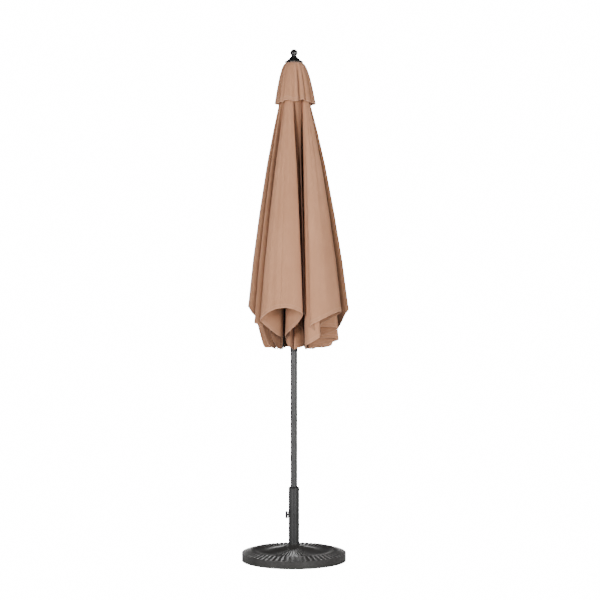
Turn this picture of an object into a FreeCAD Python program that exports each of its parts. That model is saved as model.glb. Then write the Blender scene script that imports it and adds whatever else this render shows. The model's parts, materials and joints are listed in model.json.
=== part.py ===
"""Patio umbrella with a round cast base: every piece as its own solid, in millimetres.

Z points up, the origin is the centre of the base where it stands on the floor, and the
clamp knob of the base points to -X.  The umbrella is modelled closed, with its eight ribs
hanging beside the pole.
"""

import math
import os

import FreeCAD
import Part
from FreeCAD import Vector as V

os.makedirs("parts", exist_ok=True)

# ------------------------------------------------------------------ driving dimensions
RIBS = 8                      # ribs and canopy panels round the pole
POLE_R = 16.0                 # pole outside radius
POLE_WALL = 1.5
TUBE_R = 25.4                 # base tube outside radius (2 inch tube)
TUBE_WALL = 2.0
PLATE_R = 245.0               # base casting outside radius
RIM_H = 36.5                  # height of the casting at its outer edge
HUB_Z = 74.0                  # top of the casting's hub
TUBE_TOP = 338.0              # top end of the base tube
FLUTES = 60                   # radial flutes on the casting
FLUTE_DEPTH = 3.2
PLATE_SKIN = 8.0              # wall of the casting
HUB_PIVOT_Z = 2325.0          # height of the rib pins in the top hub
PIVOT_STAND = 14.0            # rib pins and runner pins, out from the pole's surface
RIB_LENGTH = 1325.0           # pin to rib tip
CLOSED_DEG = 1.5              # rib angle from straight down, closed
OPEN_DEG = 70.0               # rib angle from straight down, open
ARM = 520.0                   # hub pin to stretcher pin, and stretcher pin to runner pin
RIB_W = 8.0                   # rib tube, across
RIB_D = 14.0                  # rib tube, deep
RIB_OFFSET = 13.0             # rib tube centre outside the line through its pins
JOINT_Z = 1004.0              # seam between the lower and the upper pole
CLAMP_Z = 213.0               # height of the clamp screw
BOSS_T = 3.2                  # how far the clamp boss stands out of the tube
HANDLE_LENGTH = 36.0          # clamp handle, end to end
CRANK_Z = 1200.0              # height of the crank shaft
CRANK_TURN_DEG = -67.5        # direction of the crank round the pole
HEM_R = 236.0                 # folded canopy, radius of a fold at its hem
HEM_Z = 1190.0                # height of the hem at the middle of a panel
VENT_HEM_R = 95.0             # little top canopy, radius at its hem
VENT_HEM_Z = 2165.0
CLOTH = 2.0                   # thickness given to the cloth as a solid

# ------------------------------------------------------------------ clearances
SLIP = 0.4                    # pole in its bushings, runner on the pole
PIN_GAP = 0.05                # moving eye on its pin
SIDE_GAP = 0.5                # fork cheeks beside a lug
CLOTH_GAP = 0.8               # cloth from the rib's middle plane and from its own fold

# ------------------------------------------------------------------ worked out
PIVOT_R = POLE_R + PIVOT_STAND
CLOSED = math.radians(CLOSED_DEG)
OPEN = math.radians(OPEN_DEG)
PITCH_DEG = 360.0 / RIBS
TRAVEL = 2 * ARM * (math.cos(CLOSED) - math.cos(OPEN))
RUNNER_PIN_Z = HUB_PIVOT_Z - 2 * ARM * math.cos(CLOSED)
TUBE_BORE_R = TUBE_R - TUBE_WALL
BUSH_BORE_R = POLE_R + SLIP
SOCKET_Z = HUB_Z - 24.0       # floor of the tube's socket in the casting
PLUG_FLOOR = 12.0
POLE_FOOT_Z = SOCKET_Z + PLUG_FLOOR + PIN_GAP
UP, OUT, AHEAD = V(0, 0, 1), V(1, 0, 0), V(0, 1, 0)
ORIGIN = V(0, 0, 0)


def rod(radius, start, end):
    """A round bar between two points."""
    line = end - start
    return Part.makeCylinder(radius, line.Length, start, line)


def pipe(outer, inner, z0, z1):
    """An upright round tube."""
    return rod(outer, V(0, 0, z0), V(0, 0, z1)).cut(rod(inner, V(0, 0, z0 - 1), V(0, 0, z1 + 1)))


def block(x0, x1, y0, y1, z0, z1):
    """A box between two corners."""
    return Part.makeBox(x1 - x0, y1 - y0, z1 - z0, V(x0, y0, z0))


def turned(points, smooth=()):
    """A solid of revolution about Z from (radius, height) points.

    A run of points whose start index is in ``smooth`` is joined by one smooth curve up
    to the index given beside it.
    """
    runs = dict(smooth)
    places = [V(r, 0, z) for r, z in points]
    edges, i = [], 0
    while i < len(places):
        last = runs.get(i, i + 1)
        if last == i + 1:
            end = places[last % len(places)]
            if (end - places[i]).Length > 1e-6:
                edges.append(Part.makeLine(places[i], end))
        else:
            curve = Part.BSplineCurve()
            curve.interpolate(places[i:last + 1])
            edges.append(curve.toShape())
        i = last
    return Part.Face(Part.Wire(edges)).revolve(ORIGIN, UP, 360)


def placed(shape, turn_deg, axis=UP, centre=ORIGIN, move=ORIGIN):
    """A copy of a shape, turned about a line and then moved."""
    copy = shape.copy()
    copy.rotate(centre, axis, turn_deg)
    copy.translate(move)
    return copy


def ring_of(shape, count, first_deg=0.0):
    """Copies of a shape evenly round the Z axis."""
    return [placed(shape, first_deg + 360.0 * k / count) for k in range(count)]


def one_piece(solid):
    """The single solid in a boolean's result."""
    return solid.Solids[0] if len(solid.Solids) == 1 else solid


def write(name, shape):
    """Save one piece as parts/NAME.step."""
    shape.exportStep("parts/" + name + ".step")


# ------------------------------------------------------------------ base
def fluted_block():
    """The casting's fluted top as a solid block, wider than the plate."""
    hub = TUBE_R + 6.0
    profile = [(hub, HUB_Z, 0.0), (hub + 12, HUB_Z - 9, 0.4),
               (PLATE_R * 0.36, RIM_H + 15.5, 0.7), (PLATE_R * 0.60, RIM_H + 7.0, 0.9),
               (PLATE_R * 0.70, RIM_H + 10.0, 1.0), (PLATE_R * 0.79, RIM_H + 15.0, 1.0),
               (PLATE_R * 0.88, RIM_H + 10.0, 1.0), (PLATE_R, RIM_H + 2.0, 1.0),
               (PLATE_R * 1.06, RIM_H - 4.0, 1.0)]
    lines, ends = [], []
    for k in range(2 * FLUTES):
        turn = math.pi * k / FLUTES
        drop = FLUTE_DEPTH * (k % 2)
        places = [V(r * math.cos(turn), r * math.sin(turn), z - drop * share)
                  for r, z, share in profile]
        curve = Part.BSplineCurve()
        curve.interpolate(places)
        lines.append(curve.toShape())
        ends.append((places[0], places[-1]))
    faces = []
    for k in range(2 * FLUTES):
        after = (k + 1) % (2 * FLUTES)
        faces.append(Part.makeRuledSurface(lines[k], lines[after]))
        rim = [ends[k][1], ends[after][1]]
        low = [V(p.x, p.y, -10) for p in rim]
        faces.append(Part.Face(Part.makePolygon([rim[0], rim[1], low[1], low[0], rim[0]])))
    top = [inner for inner, _ in ends]
    low = [V(p.x, p.y, -10) for _, p in ends]
    faces.append(Part.Face(Part.makePolygon(top + top[:1])))
    faces.append(Part.Face(Part.makePolygon(low + low[:1])))
    shell = Part.makeShell(faces)
    shell.sewShape()
    solid = Part.Solid(shell)
    return solid if solid.Volume > 0 else solid.reversed()


def base_plate():
    """Round cast plate: fluted on top, hollow below, with a socket for the tube."""
    plate = fluted_block().common(rod(PLATE_R, ORIGIN, V(0, 0, HUB_Z + 5)))
    seat = TUBE_R + 7.0
    under = RIM_H - 1.5 - PLATE_SKIN - FLUTE_DEPTH
    hollow = turned([(seat, -1), (PLATE_R - PLATE_SKIN, -1), (PLATE_R - PLATE_SKIN, under),
                     (PLATE_R * 0.79, under + 10), (PLATE_R * 0.60, under + 5),
                     (PLATE_R * 0.36, under + 12), (seat, under + 16)])
    plate = plate.cut(hollow)
    web = block(seat - 3, PLATE_R - PLATE_SKIN + 3, -2.5, 2.5, 4, under + 4)
    plate = plate.fuse(ring_of(web, 8, 22.5))
    plate = plate.cut(rod(TUBE_R, V(0, 0, SOCKET_Z), V(0, 0, HUB_Z + 5)))
    plate = plate.cut(rod(17, V(0, 0, -1), V(0, 0, SOCKET_Z - 12)))
    plate = plate.cut(rod(5.2, V(0, 0, 0), V(0, 0, HUB_Z)))
    return one_piece(plate)


def base_tube():
    """Steel tube standing in the casting, drilled for the clamp screw."""
    tube = pipe(TUBE_R, TUBE_BORE_R, SOCKET_Z, TUBE_TOP)
    return tube.cut(rod(5.0, V(-TUBE_R - 5, 0, CLAMP_Z), V(0, 0, CLAMP_Z)))


def foot_plug():
    """Plug in the tube's foot: the pole stands in it and the base bolt screws into it."""
    plug = pipe(TUBE_BORE_R, 5.0, SOCKET_Z, SOCKET_Z + PLUG_FLOOR + 28)
    return plug.cut(rod(BUSH_BORE_R, V(0, 0, SOCKET_Z + PLUG_FLOOR),
                        V(0, 0, SOCKET_Z + PLUG_FLOOR + 40)))


def base_bolt():
    """Hexagon bolt from below that pulls the tube down into its socket."""
    seat = SOCKET_Z - 12
    corners = [V(9.2 * math.cos(math.radians(60 * k)), 9.2 * math.sin(math.radians(60 * k)),
                 seat - 7) for k in range(7)]
    head = Part.Face(Part.makePolygon(corners)).extrude(V(0, 0, 7))
    shank = rod(5.0, V(0, 0, seat - 1), V(0, 0, SOCKET_Z + PLUG_FLOOR - 2))
    washer = rod(13.0, V(0, 0, seat - 2.0), V(0, 0, seat))
    return head.translated(V(0, 0, -2)).fuse([washer, shank]).removeSplitter()


def tube_bushing():
    """Plastic bushing in the tube's mouth with a chamfered collar on top."""
    return turned([(BUSH_BORE_R, TUBE_TOP - 55), (TUBE_BORE_R, TUBE_TOP - 55),
                   (TUBE_BORE_R, TUBE_TOP), (TUBE_R + 0.6, TUBE_TOP), (TUBE_R + 0.6, TUBE_TOP + 2),
                   (TUBE_R - 3.4, TUBE_TOP + 6), (BUSH_BORE_R + 1.5, TUBE_TOP + 6),
                   (BUSH_BORE_R, TUBE_TOP + 4)])


def clamp_boss():
    """Threaded boss welded to the side of the tube."""
    boss = rod(15.5, V(-TUBE_R - BOSS_T, 0, CLAMP_Z), V(-TUBE_R + 12, 0, CLAMP_Z))
    boss = boss.makeChamfer(1.2, [e for e in boss.Edges if e.CenterOfMass.x < -TUBE_R])
    boss = boss.cut(rod(TUBE_R, V(0, 0, CLAMP_Z - 40), V(0, 0, CLAMP_Z + 40)))
    return one_piece(boss.cut(rod(4.0 + PIN_GAP, V(-60, 0, CLAMP_Z), V(0, 0, CLAMP_Z))))


def clamp_screw():
    """Clamp screw with a rounded tip just clear of the pole."""
    tip = -POLE_R - SLIP - 0.1
    head = -TUBE_R - BOSS_T - 9.1
    screw = rod(4.0, V(head, 0, CLAMP_Z), V(tip - 3, 0, CLAMP_Z))
    nose = Part.makeCone(4.0, 2.0, 3.0, V(tip - 3, 0, CLAMP_Z), OUT)
    return screw.fuse(nose).removeSplitter()


def clamp_handle():
    """Moulded T handle on the outer end of the screw."""
    outer, inner = -TUBE_R - BOSS_T - 12.1, -TUBE_R - BOSS_T - 0.8
    mid, half = (outer + inner) / 2, (inner - outer) / 2
    reach = HANDLE_LENGTH / 2 - half
    grip = rod(half, V(mid, 0, CLAMP_Z - reach), V(mid, 0, CLAMP_Z + reach))
    ends = [Part.makeSphere(half, V(mid, 0, CLAMP_Z + side * reach)) for side in (-1, 1)]
    hub = rod(8.0, V(outer + 0.6, 0, CLAMP_Z), V(inner, 0, CLAMP_Z))
    grip = grip.fuse(ends + [hub])
    return one_piece(grip.cut(rod(4.0, V(outer + 3, 0, CLAMP_Z), V(0, 0, CLAMP_Z))))


# ------------------------------------------------------------------ pole and crank
def lower_pole():
    """Lower pole section, standing in the base tube."""
    return pipe(POLE_R, POLE_R - POLE_WALL, POLE_FOOT_Z, JOINT_Z)


def pole_end_cap():
    """Plastic plug inside the pole's lower end."""
    inner = POLE_R - POLE_WALL
    return rod(inner, V(0, 0, POLE_FOOT_Z), V(0, 0, POLE_FOOT_Z + 14))


def upper_pole():
    """Upper pole section, from the seam to the top hub."""
    pole = pipe(POLE_R, POLE_R - POLE_WALL, JOINT_Z, HUB_PIVOT_Z + 8)
    shaft = placed(rod(5.0, V(0, 0, CRANK_Z), V(POLE_R + 5, 0, CRANK_Z)), CRANK_TURN_DEG)
    return pole.cut(shaft)


def pole_coupler():
    """Sleeve inside both pole sections at the seam."""
    inner = POLE_R - POLE_WALL
    return pipe(inner, inner - 1.5, JOINT_Z - 90, JOINT_Z + 60)


def pole_ferrule():
    """Dark collar round the foot of the upper pole section."""
    outer = POLE_R + 1.3
    return turned([(POLE_R, JOINT_Z - 23), (POLE_R + 0.5, JOINT_Z - 23), (outer, JOINT_Z - 18),
                   (outer, JOINT_Z + 24), (POLE_R + 0.4, JOINT_Z + 27), (POLE_R, JOINT_Z + 27)])


HOUSING_R = POLE_R + 14.0     # crank housing, back radius
HOUSING_FACE = POLE_R + 30.0  # its flat front
HOUSING_TOP = CRANK_Z + 45.0
HOUSING_FOOT = CRANK_Z - 50.0
SPOOL_R = 13.0


def housing_body():
    """Outline of the crank housing, the crank to +X, before it is split."""
    body = rod(HOUSING_R, V(0, 0, HOUSING_FOOT), V(0, 0, HOUSING_TOP))
    body = body.fuse(block(0, HOUSING_FACE, -22, 22, HOUSING_FOOT + 8, HOUSING_TOP - 8))
    body = body.fuse(rod(24, V(0, 0, CRANK_Z), V(HOUSING_FACE, 0, CRANK_Z)))
    body = body.cut(rod(POLE_R, V(0, 0, HOUSING_FOOT - 1), V(0, 0, HOUSING_TOP + 1)))
    body = body.cut(rod(SPOOL_R + 5, V(0, 0, CRANK_Z), V(HOUSING_FACE - 3, 0, CRANK_Z)))
    body = body.fuse(pipe(POLE_R + 3, POLE_R, HOUSING_FOOT, HOUSING_TOP))
    return body.cut(rod(5.0, V(0, 0, CRANK_Z), V(HOUSING_FACE + 5, 0, CRANK_Z)))


def housing_screw_places():
    """Centres of the four screws that join the housing's halves."""
    return [(side * 25.0, CRANK_Z + up) for side in (-1, 1) for up in (-34.0, 30.0)]


def housing_halves():
    """Front and back half of the crank housing, with their screw holes."""
    body = housing_body()
    body = body.fuse([rod(4.6, V(-10, y, z), V(10, y, z)) for y, z in housing_screw_places()])
    body = body.cut(rod(POLE_R, V(0, 0, HOUSING_FOOT - 1), V(0, 0, HOUSING_TOP + 1)))
    for y, z in housing_screw_places():
        body = body.cut([rod(2.0, V(-20, y, z), V(8, y, z)), rod(3.9, V(-60, y, z), V(-10, y, z))])
    front = body.common(block(0, 200, -200, 200, 0, 3000))
    back = body.common(block(-200, 0, -200, 200, 0, 3000))
    return front, back


def housing_screws():
    """The four screws of the crank housing."""
    return [rod(2.0, V(-10, y, z), V(7, y, z)).fuse(rod(3.6, V(-12.2, y, z), V(-10, y, z)))
            for y, z in housing_screw_places()]


def crank_spool():
    """Shaft and cord drum of the crank."""
    shaft = rod(5.0 - PIN_GAP, V(POLE_R + 4, 0, CRANK_Z), V(HOUSING_FACE + 8, 0, CRANK_Z))
    drum = rod(SPOOL_R - 3, V(POLE_R + 4, 0, CRANK_Z), V(HOUSING_FACE - 5, 0, CRANK_Z))
    rims = [rod(SPOOL_R, V(x, 0, CRANK_Z), V(x + 2, 0, CRANK_Z))
            for x in (POLE_R + 4, HOUSING_FACE - 7)]
    return shaft.fuse([drum] + rims).removeSplitter()


ARM_X = HOUSING_FACE + 2.0
GRIP_DROP = 44.0


def crank_arm():
    """Flat arm on the crank shaft with the grip's pin at its lower end."""
    arm = block(ARM_X, ARM_X + 6, -7, 7, CRANK_Z - GRIP_DROP, CRANK_Z)
    arm = arm.fuse([rod(9, V(ARM_X, 0, CRANK_Z), V(ARM_X + 8, 0, CRANK_Z)),
                    rod(7, V(ARM_X, 0, CRANK_Z - GRIP_DROP), V(ARM_X + 6, 0, CRANK_Z - GRIP_DROP)),
                    rod(3, V(ARM_X + 6, 0, CRANK_Z - GRIP_DROP),
                        V(ARM_X + 30, 0, CRANK_Z - GRIP_DROP))])
    bore = rod(5.0 - PIN_GAP, V(ARM_X - 1, 0, CRANK_Z), V(HOUSING_FACE + 8, 0, CRANK_Z))
    return one_piece(arm.cut(bore).removeSplitter())


def crank_grip():
    """Loose round grip on the arm's pin."""
    x = ARM_X + 6 + SIDE_GAP
    knob = turned([(3 + PIN_GAP, 0), (7.5, 0), (8.5, 4), (7.2, 12), (8.2, 20), (6.5, 22),
                   (3 + PIN_GAP, 22)])
    knob.rotate(ORIGIN, AHEAD, 90)
    knob.translate(V(x, 0, CRANK_Z - GRIP_DROP))
    return knob


# ------------------------------------------------------------------ hub, runner and ribs
LUG_T = 4.0                   # lugs of the runner and of the ribs' middle
TONGUE_T = 5.0                # rib tongue in the hub
EYE_R = 5.5
PIN_R = 2.5
RIVET_R = 2.0
HUB_R = PIVOT_R + 10.0
STRETCHER_R = 5.0             # half the width of a stretcher, and its rounded ends
SWING_GAP = 2.0               # a stretcher's end from the rims of the runner
CHEEK_T = 2.0                 # each cheek of a stretcher's fork


def top_hub():
    """Slotted hub on the pole's top end that carries the ribs."""
    hub = turned([(0, HUB_PIVOT_Z + 8), (POLE_R, HUB_PIVOT_Z + 8), (POLE_R, HUB_PIVOT_Z - 40),
                  (POLE_R + 4, HUB_PIVOT_Z - 40), (POLE_R + 4, HUB_PIVOT_Z - 11),
                  (HUB_R, HUB_PIVOT_Z - 11), (HUB_R, HUB_PIVOT_Z + 9),
                  (HUB_R - 5, HUB_PIVOT_Z + 14), (0, HUB_PIVOT_Z + 14)])
    half = TONGUE_T / 2 + 0.2
    slot = block(PIVOT_R - 8, HUB_R + 5, -half, half, HUB_PIVOT_Z - 30, HUB_PIVOT_Z + 8)
    pin = rod(PIN_R, V(PIVOT_R, -7, HUB_PIVOT_Z), V(PIVOT_R, 7, HUB_PIVOT_Z))
    hub = hub.cut(ring_of(slot, RIBS)).cut(ring_of(pin, RIBS))
    return one_piece(hub.cut(rod(4.0, V(0, 0, HUB_PIVOT_Z), V(0, 0, HUB_PIVOT_Z + 20))))


def hub_pins():
    """The rib pins, pressed into the hub's cheeks."""
    return ring_of(rod(PIN_R, V(PIVOT_R, -7, HUB_PIVOT_Z), V(PIVOT_R, 7, HUB_PIVOT_Z)), RIBS)


def runner():
    """Sliding runner with a lug for each stretcher."""
    z = RUNNER_PIN_Z
    rim_r = PIVOT_R - STRETCHER_R - SWING_GAP
    sleeve = pipe(rim_r - 2.5, POLE_R + SLIP, z - 22, z + 26)
    lug = block(rim_r - 4, PIVOT_R, -LUG_T / 2, LUG_T / 2, z - 5, z + 5)
    lug = lug.fuse(rod(5.0, V(PIVOT_R, -LUG_T / 2, z), V(PIVOT_R, LUG_T / 2, z)))
    body = sleeve.fuse(ring_of(lug, RIBS))
    rims = [pipe(rim_r, POLE_R + SLIP, end, end + 4) for end in (z - 22, z + 22)]
    body = body.fuse(rims)
    hole = rod(RIVET_R, V(PIVOT_R, -5, z), V(PIVOT_R, 5, z))
    return one_piece(body.cut(ring_of(hole, RIBS)))


def plate_on_line(points, thickness):
    """A flat plate through (outward, along) points, centred on the rib's middle plane."""
    corners = [V(x, -thickness / 2, z) for x, z in points]
    return Part.Face(Part.makePolygon(corners + corners[:1])).extrude(V(0, thickness, 0))


def rib_upright():
    """A rib hanging straight down from its pin at the origin, outer side to +X."""
    x0, x1 = RIB_OFFSET - RIB_D / 2, RIB_OFFSET + RIB_D / 2
    tube = block(x0, x1, -RIB_W / 2, RIB_W / 2, -RIB_LENGTH, -16)
    tube = tube.cut(block(x0 + 1.2, x1 - 1.2, -RIB_W / 2 + 1.2, RIB_W / 2 - 1.2,
                          -RIB_LENGTH + 1.5, -60))
    tongue = plate_on_line([(-EYE_R, 0), (EYE_R, 0), (EYE_R, -6), (x1 - 1, -16), (x1 - 1, -20),
                            (x0 + 1, -20), (-EYE_R + 1, -6)], TONGUE_T)
    eye = rod(EYE_R, V(0, -TONGUE_T / 2, 0), V(0, TONGUE_T / 2, 0))
    lug = plate_on_line([(-4.5, -ARM), (-3, -ARM - 5), (x0 + 1, -ARM - 16),
                         (x0 + 1, -ARM + 16), (-3, -ARM + 5)], LUG_T)
    head = LUG_T / 2 + SIDE_GAP + CHEEK_T + 0.3
    rivet = rod(RIVET_R, V(0, -head - 1.6, -ARM), V(0, head + 1.6, -ARM))
    heads = [rod(3.6, V(0, side * head, -ARM), V(0, side * (head + 1.6), -ARM))
             for side in (-1, 1)]
    tip = rod(2.2, V(RIB_OFFSET, 0, -RIB_LENGTH - 5), V(RIB_OFFSET, 0, -RIB_LENGTH))
    ball = Part.makeSphere(3.6, V(RIB_OFFSET, 0, -RIB_LENGTH - 5))
    rib = tube.fuse([tongue, eye, lug, rivet, tip, ball] + heads)
    return one_piece(rib.cut(rod(PIN_R + PIN_GAP, V(0, -9, 0), V(0, 9, 0))))


def stretcher_upright():
    """A stretcher hanging straight down from its upper pin at the origin."""
    inner = LUG_T / 2 + SIDE_GAP
    cheeks = []
    for side in (-1, 1):
        y0, y1 = sorted((side * inner, side * (inner + CHEEK_T)))
        bar = block(-STRETCHER_R, STRETCHER_R, y0, y1, -ARM, 0)
        ends = [rod(STRETCHER_R, V(0, y0, z), V(0, y1, z)) for z in (0, -ARM)]
        cheeks.append(bar.fuse(ends))
    web = block(-STRETCHER_R, -STRETCHER_R + 2, -inner, inner, -ARM + 82, -42)
    head = inner + CHEEK_T
    studs = [rod(3.4, V(0, side * head, -ARM), V(0, side * (head + 1.4), -ARM))
             for side in (-1, 1)]
    body = cheeks[0].fuse([cheeks[1], web] + studs)
    return one_piece(body.cut(rod(RIVET_R + PIN_GAP, V(0, -9, 0), V(0, 9, 0))))


def hung(shape, tilt_deg, outward, height, turn_deg):
    """Swing an upright piece outward about its top pin, move it out and turn it round."""
    piece = shape.copy()
    piece.rotate(ORIGIN, AHEAD, -tilt_deg)
    piece.translate(V(outward, 0, height))
    piece.rotate(ORIGIN, UP, turn_deg)
    return piece


# ------------------------------------------------------------------ finial and cloth
def finial():
    """Turned finial: flared cap, neck and ball."""
    foot = HUB_PIVOT_Z + 14 + CLOTH
    body = turned([(0, foot), (HUB_R + 3.2, foot), (HUB_R + 4, foot + 1.6), (HUB_R + 2, foot + 4),
                   (28, foot + 13), (18, foot + 23), (11.5, foot + 30), (12.5, foot + 33),
                   (17.5, foot + 44.5), (12.4, foot + 57), (0, foot + 62)],
                  smooth=((3, 6), (7, 10)))
    return one_piece(body.cut(rod(4.0, V(0, 0, foot - 1), V(0, 0, foot + 32))))


def finial_stud():
    """Threaded stud that holds the finial and the crown of the cloth on the hub."""
    return rod(4.0, V(0, 0, HUB_PIVOT_Z + 9), V(0, 0, HUB_PIVOT_Z + 14 + CLOTH + 30))


def vent_canopy():
    """Little top canopy, hanging closed like a bell below the finial."""
    top = HUB_PIVOT_Z + 14
    edge = [(HUB_R + 1, top + CLOTH), (HUB_R + 12, top - 6), (HUB_R + 28, top - 48),
            (HUB_R + 44, top - 120), (VENT_HEM_R, VENT_HEM_Z)]
    inside = [(r - CLOTH, z - 0.4) for r, z in edge[1:]]
    outline = [(4.0, top), (4.0, top + CLOTH)] + edge + inside[::-1] + [(HUB_R - 1.5, top)]
    return turned(outline)


def half_panel(side):
    """Half of a canopy panel folded beside a rib at +X, from the rib to the fold.

    ``side`` is 1 for the half anticlockwise of the rib and -1 for the other.
    """
    lean = math.tan(CLOSED)
    off = RIB_OFFSET + RIB_D / 2 + 1.5
    top, foot = HUB_PIVOT_Z - 40, HUB_PIVOT_Z - RIB_LENGTH * math.cos(CLOSED) + 6
    turn = math.radians(PITCH_DEG / 2)

    def at_rib(z):
        return V(PIVOT_R + (HUB_PIVOT_Z - z) * lean + off, CLOTH_GAP, z)

    def at_fold(radius, z):
        across = CLOTH + CLOTH_GAP
        return V(radius * math.cos(turn) + across * math.sin(turn),
                 radius * math.sin(turn) - across * math.cos(turn), z)

    corners = [at_rib(top), at_rib(foot), at_fold(HEM_R, HEM_Z), at_fold(PIVOT_R + 30, top)]
    face_normal = (corners[2] - corners[0]).cross(corners[3] - corners[1]).normalize()
    if face_normal.y < 0:
        face_normal = face_normal.negative()
    back = [c + face_normal * CLOTH for c in corners]
    faces = []
    for quad in (corners, back):
        for triple in ((0, 1, 2), (0, 2, 3)):
            p = [quad[k] for k in triple]
            faces.append(Part.Face(Part.makePolygon(p + p[:1])))
    for k in range(4):
        after = (k + 1) % 4
        p = [corners[k], corners[after], back[after], back[k]]
        faces.append(Part.Face(Part.makePolygon(p + p[:1])))
    shell = Part.makeShell(faces)
    shell.sewShape()
    solid = Part.Solid(shell)
    solid = solid if solid.Volume > 0 else solid.reversed()
    if side < 0:
        solid = solid.mirror(ORIGIN, AHEAD)
    return solid


# ------------------------------------------------------------------ write every piece
def crank_side(shape):
    """Turn a piece modelled with the crank at +X to the crank's own direction."""
    return placed(shape, CRANK_TURN_DEG)


def write_base():
    write("base_plate", base_plate())
    write("base_tube", base_tube())
    write("tube_foot_plug", foot_plug())
    write("base_bolt", base_bolt())
    write("tube_bushing", tube_bushing())
    write("clamp_boss", clamp_boss())
    write("clamp_screw", clamp_screw())
    write("clamp_handle", clamp_handle())


def write_pole():
    write("lower_pole", lower_pole())
    write("pole_end_cap", pole_end_cap())
    write("pole_ferrule", pole_ferrule())
    write("pole_coupler", pole_coupler())
    write("upper_pole", upper_pole())
    front, back = housing_halves()
    write("crank_housing_front", crank_side(one_piece(front)))
    write("crank_housing_back", crank_side(one_piece(back)))
    write("housing_screws", crank_side(Part.makeCompound(housing_screws())))
    write("crank_spool", crank_side(crank_spool()))
    write("crank_arm", crank_side(crank_arm()))
    write("crank_grip", crank_side(crank_grip()))


def write_canopy():
    write("top_hub", top_hub())
    write("hub_pins", Part.makeCompound(hub_pins()))
    write("runner", runner())
    write("finial", finial())
    write("finial_stud", finial_stud())
    write("vent_canopy", vent_canopy())
    rib, stretcher = rib_upright(), stretcher_upright()
    pin_r = PIVOT_R + ARM * math.sin(CLOSED)
    pin_z = HUB_PIVOT_Z - ARM * math.cos(CLOSED)
    halves = {"left": half_panel(1), "right": half_panel(-1)}
    for k in range(RIBS):
        turn = PITCH_DEG * k
        name = str(k + 1)
        write("rib_" + name, hung(rib, CLOSED_DEG, PIVOT_R, HUB_PIVOT_Z, turn))
        write("stretcher_" + name, hung(stretcher, -CLOSED_DEG, pin_r, pin_z, turn))
        for side, half in halves.items():
            write("cloth_" + name + "_" + side, placed(half, turn))


write_base()
write_pole()
write_canopy()
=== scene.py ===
"""Patio umbrella with a round cast base, closed: cloth, finishes, light and camera."""

import json
import logging
import math
from dataclasses import dataclass, field
from enum import Enum
from typing import Any, Dict, List, Optional, Tuple, Union

import bpy
import numpy as np
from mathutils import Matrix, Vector


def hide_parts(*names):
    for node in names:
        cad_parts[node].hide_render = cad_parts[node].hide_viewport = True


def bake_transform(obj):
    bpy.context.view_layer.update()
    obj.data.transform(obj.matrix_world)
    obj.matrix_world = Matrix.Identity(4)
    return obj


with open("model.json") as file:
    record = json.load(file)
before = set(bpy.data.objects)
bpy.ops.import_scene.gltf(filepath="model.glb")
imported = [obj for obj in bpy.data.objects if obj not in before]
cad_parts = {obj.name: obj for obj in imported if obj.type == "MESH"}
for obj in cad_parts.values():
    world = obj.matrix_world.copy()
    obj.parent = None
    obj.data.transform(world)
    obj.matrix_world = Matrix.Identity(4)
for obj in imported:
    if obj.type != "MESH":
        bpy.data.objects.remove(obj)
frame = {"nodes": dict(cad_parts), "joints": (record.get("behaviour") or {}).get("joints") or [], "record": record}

LOG = logging.getLogger("umbrella")
Number = Union[int, float]
Colour = Tuple[float, float, float]
MM = 0.001

# How the shares of a fold are searched for: where the search starts, its passes, its longest
# step and the limits it keeps to, first for one point and then for two edges that meet.
SHARE_PASSES, SHARE_PROBE, SHARE_STEP, SHARE_LIMITS = 24, 0.01, 0.3, (-1.5, 2.4)
FIRST_SHARE, MEET_PASSES, SMALL_SHARE, MEET_STEP, MEET_LIMITS = 0.9, 14, 1e-4, 0.2, (-0.5, 2.3)


# ---------------------------------------------------------------- shader maths
@dataclass(frozen=True)
class Socket:
    """One output of a shader node, with Python's operators on it."""

    graph: "Graph"
    link: Any

    def _math(self, operation: str, *others: Any) -> "Socket":
        """Add one Math node on this socket and others."""
        return self.graph.maths(operation, self, *others)

    def __add__(self, other: Any) -> "Socket":
        """Sum."""
        return self._math("ADD", other)

    __radd__ = __add__

    def __sub__(self, other: Any) -> "Socket":
        """Difference."""
        return self._math("SUBTRACT", other)

    def __rsub__(self, other: Any) -> "Socket":
        """Difference, reflected."""
        return self.graph.maths("SUBTRACT", other, self)

    def __mul__(self, other: Any) -> "Socket":
        """Product."""
        return self._math("MULTIPLY", other)

    __rmul__ = __mul__

    def __truediv__(self, other: Any) -> "Socket":
        """Quotient."""
        return self._math("DIVIDE", other)

    def sine(self) -> "Socket":
        """Sine of the value."""
        return self._math("SINE")

    def absolute(self) -> "Socket":
        """Size of the value."""
        return self._math("ABSOLUTE")

    def power(self, exponent: Number) -> "Socket":
        """The value to a power."""
        return self._math("POWER", exponent)

    def over(self, limit: Number) -> "Socket":
        """1 where the value is above a limit, else 0."""
        return self._math("GREATER_THAN", limit)

    def wrap(self, length: Number) -> "Socket":
        """The value wrapped into 0 to a length."""
        return self.graph.maths("WRAP", self, length, 0.0)

    def ramp(self, low: Number, high: Number, start: Number = 0.0, end: Number = 1.0) -> "Socket":
        """Map low..high to start..end, held at both ends."""
        node = self.graph.add("ShaderNodeMapRange", {"clamp": True}, {
            "Value": self, "From Min": low, "From Max": high, "To Min": start, "To Max": end})
        return Socket(self.graph, node.outputs["Result"])


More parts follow.
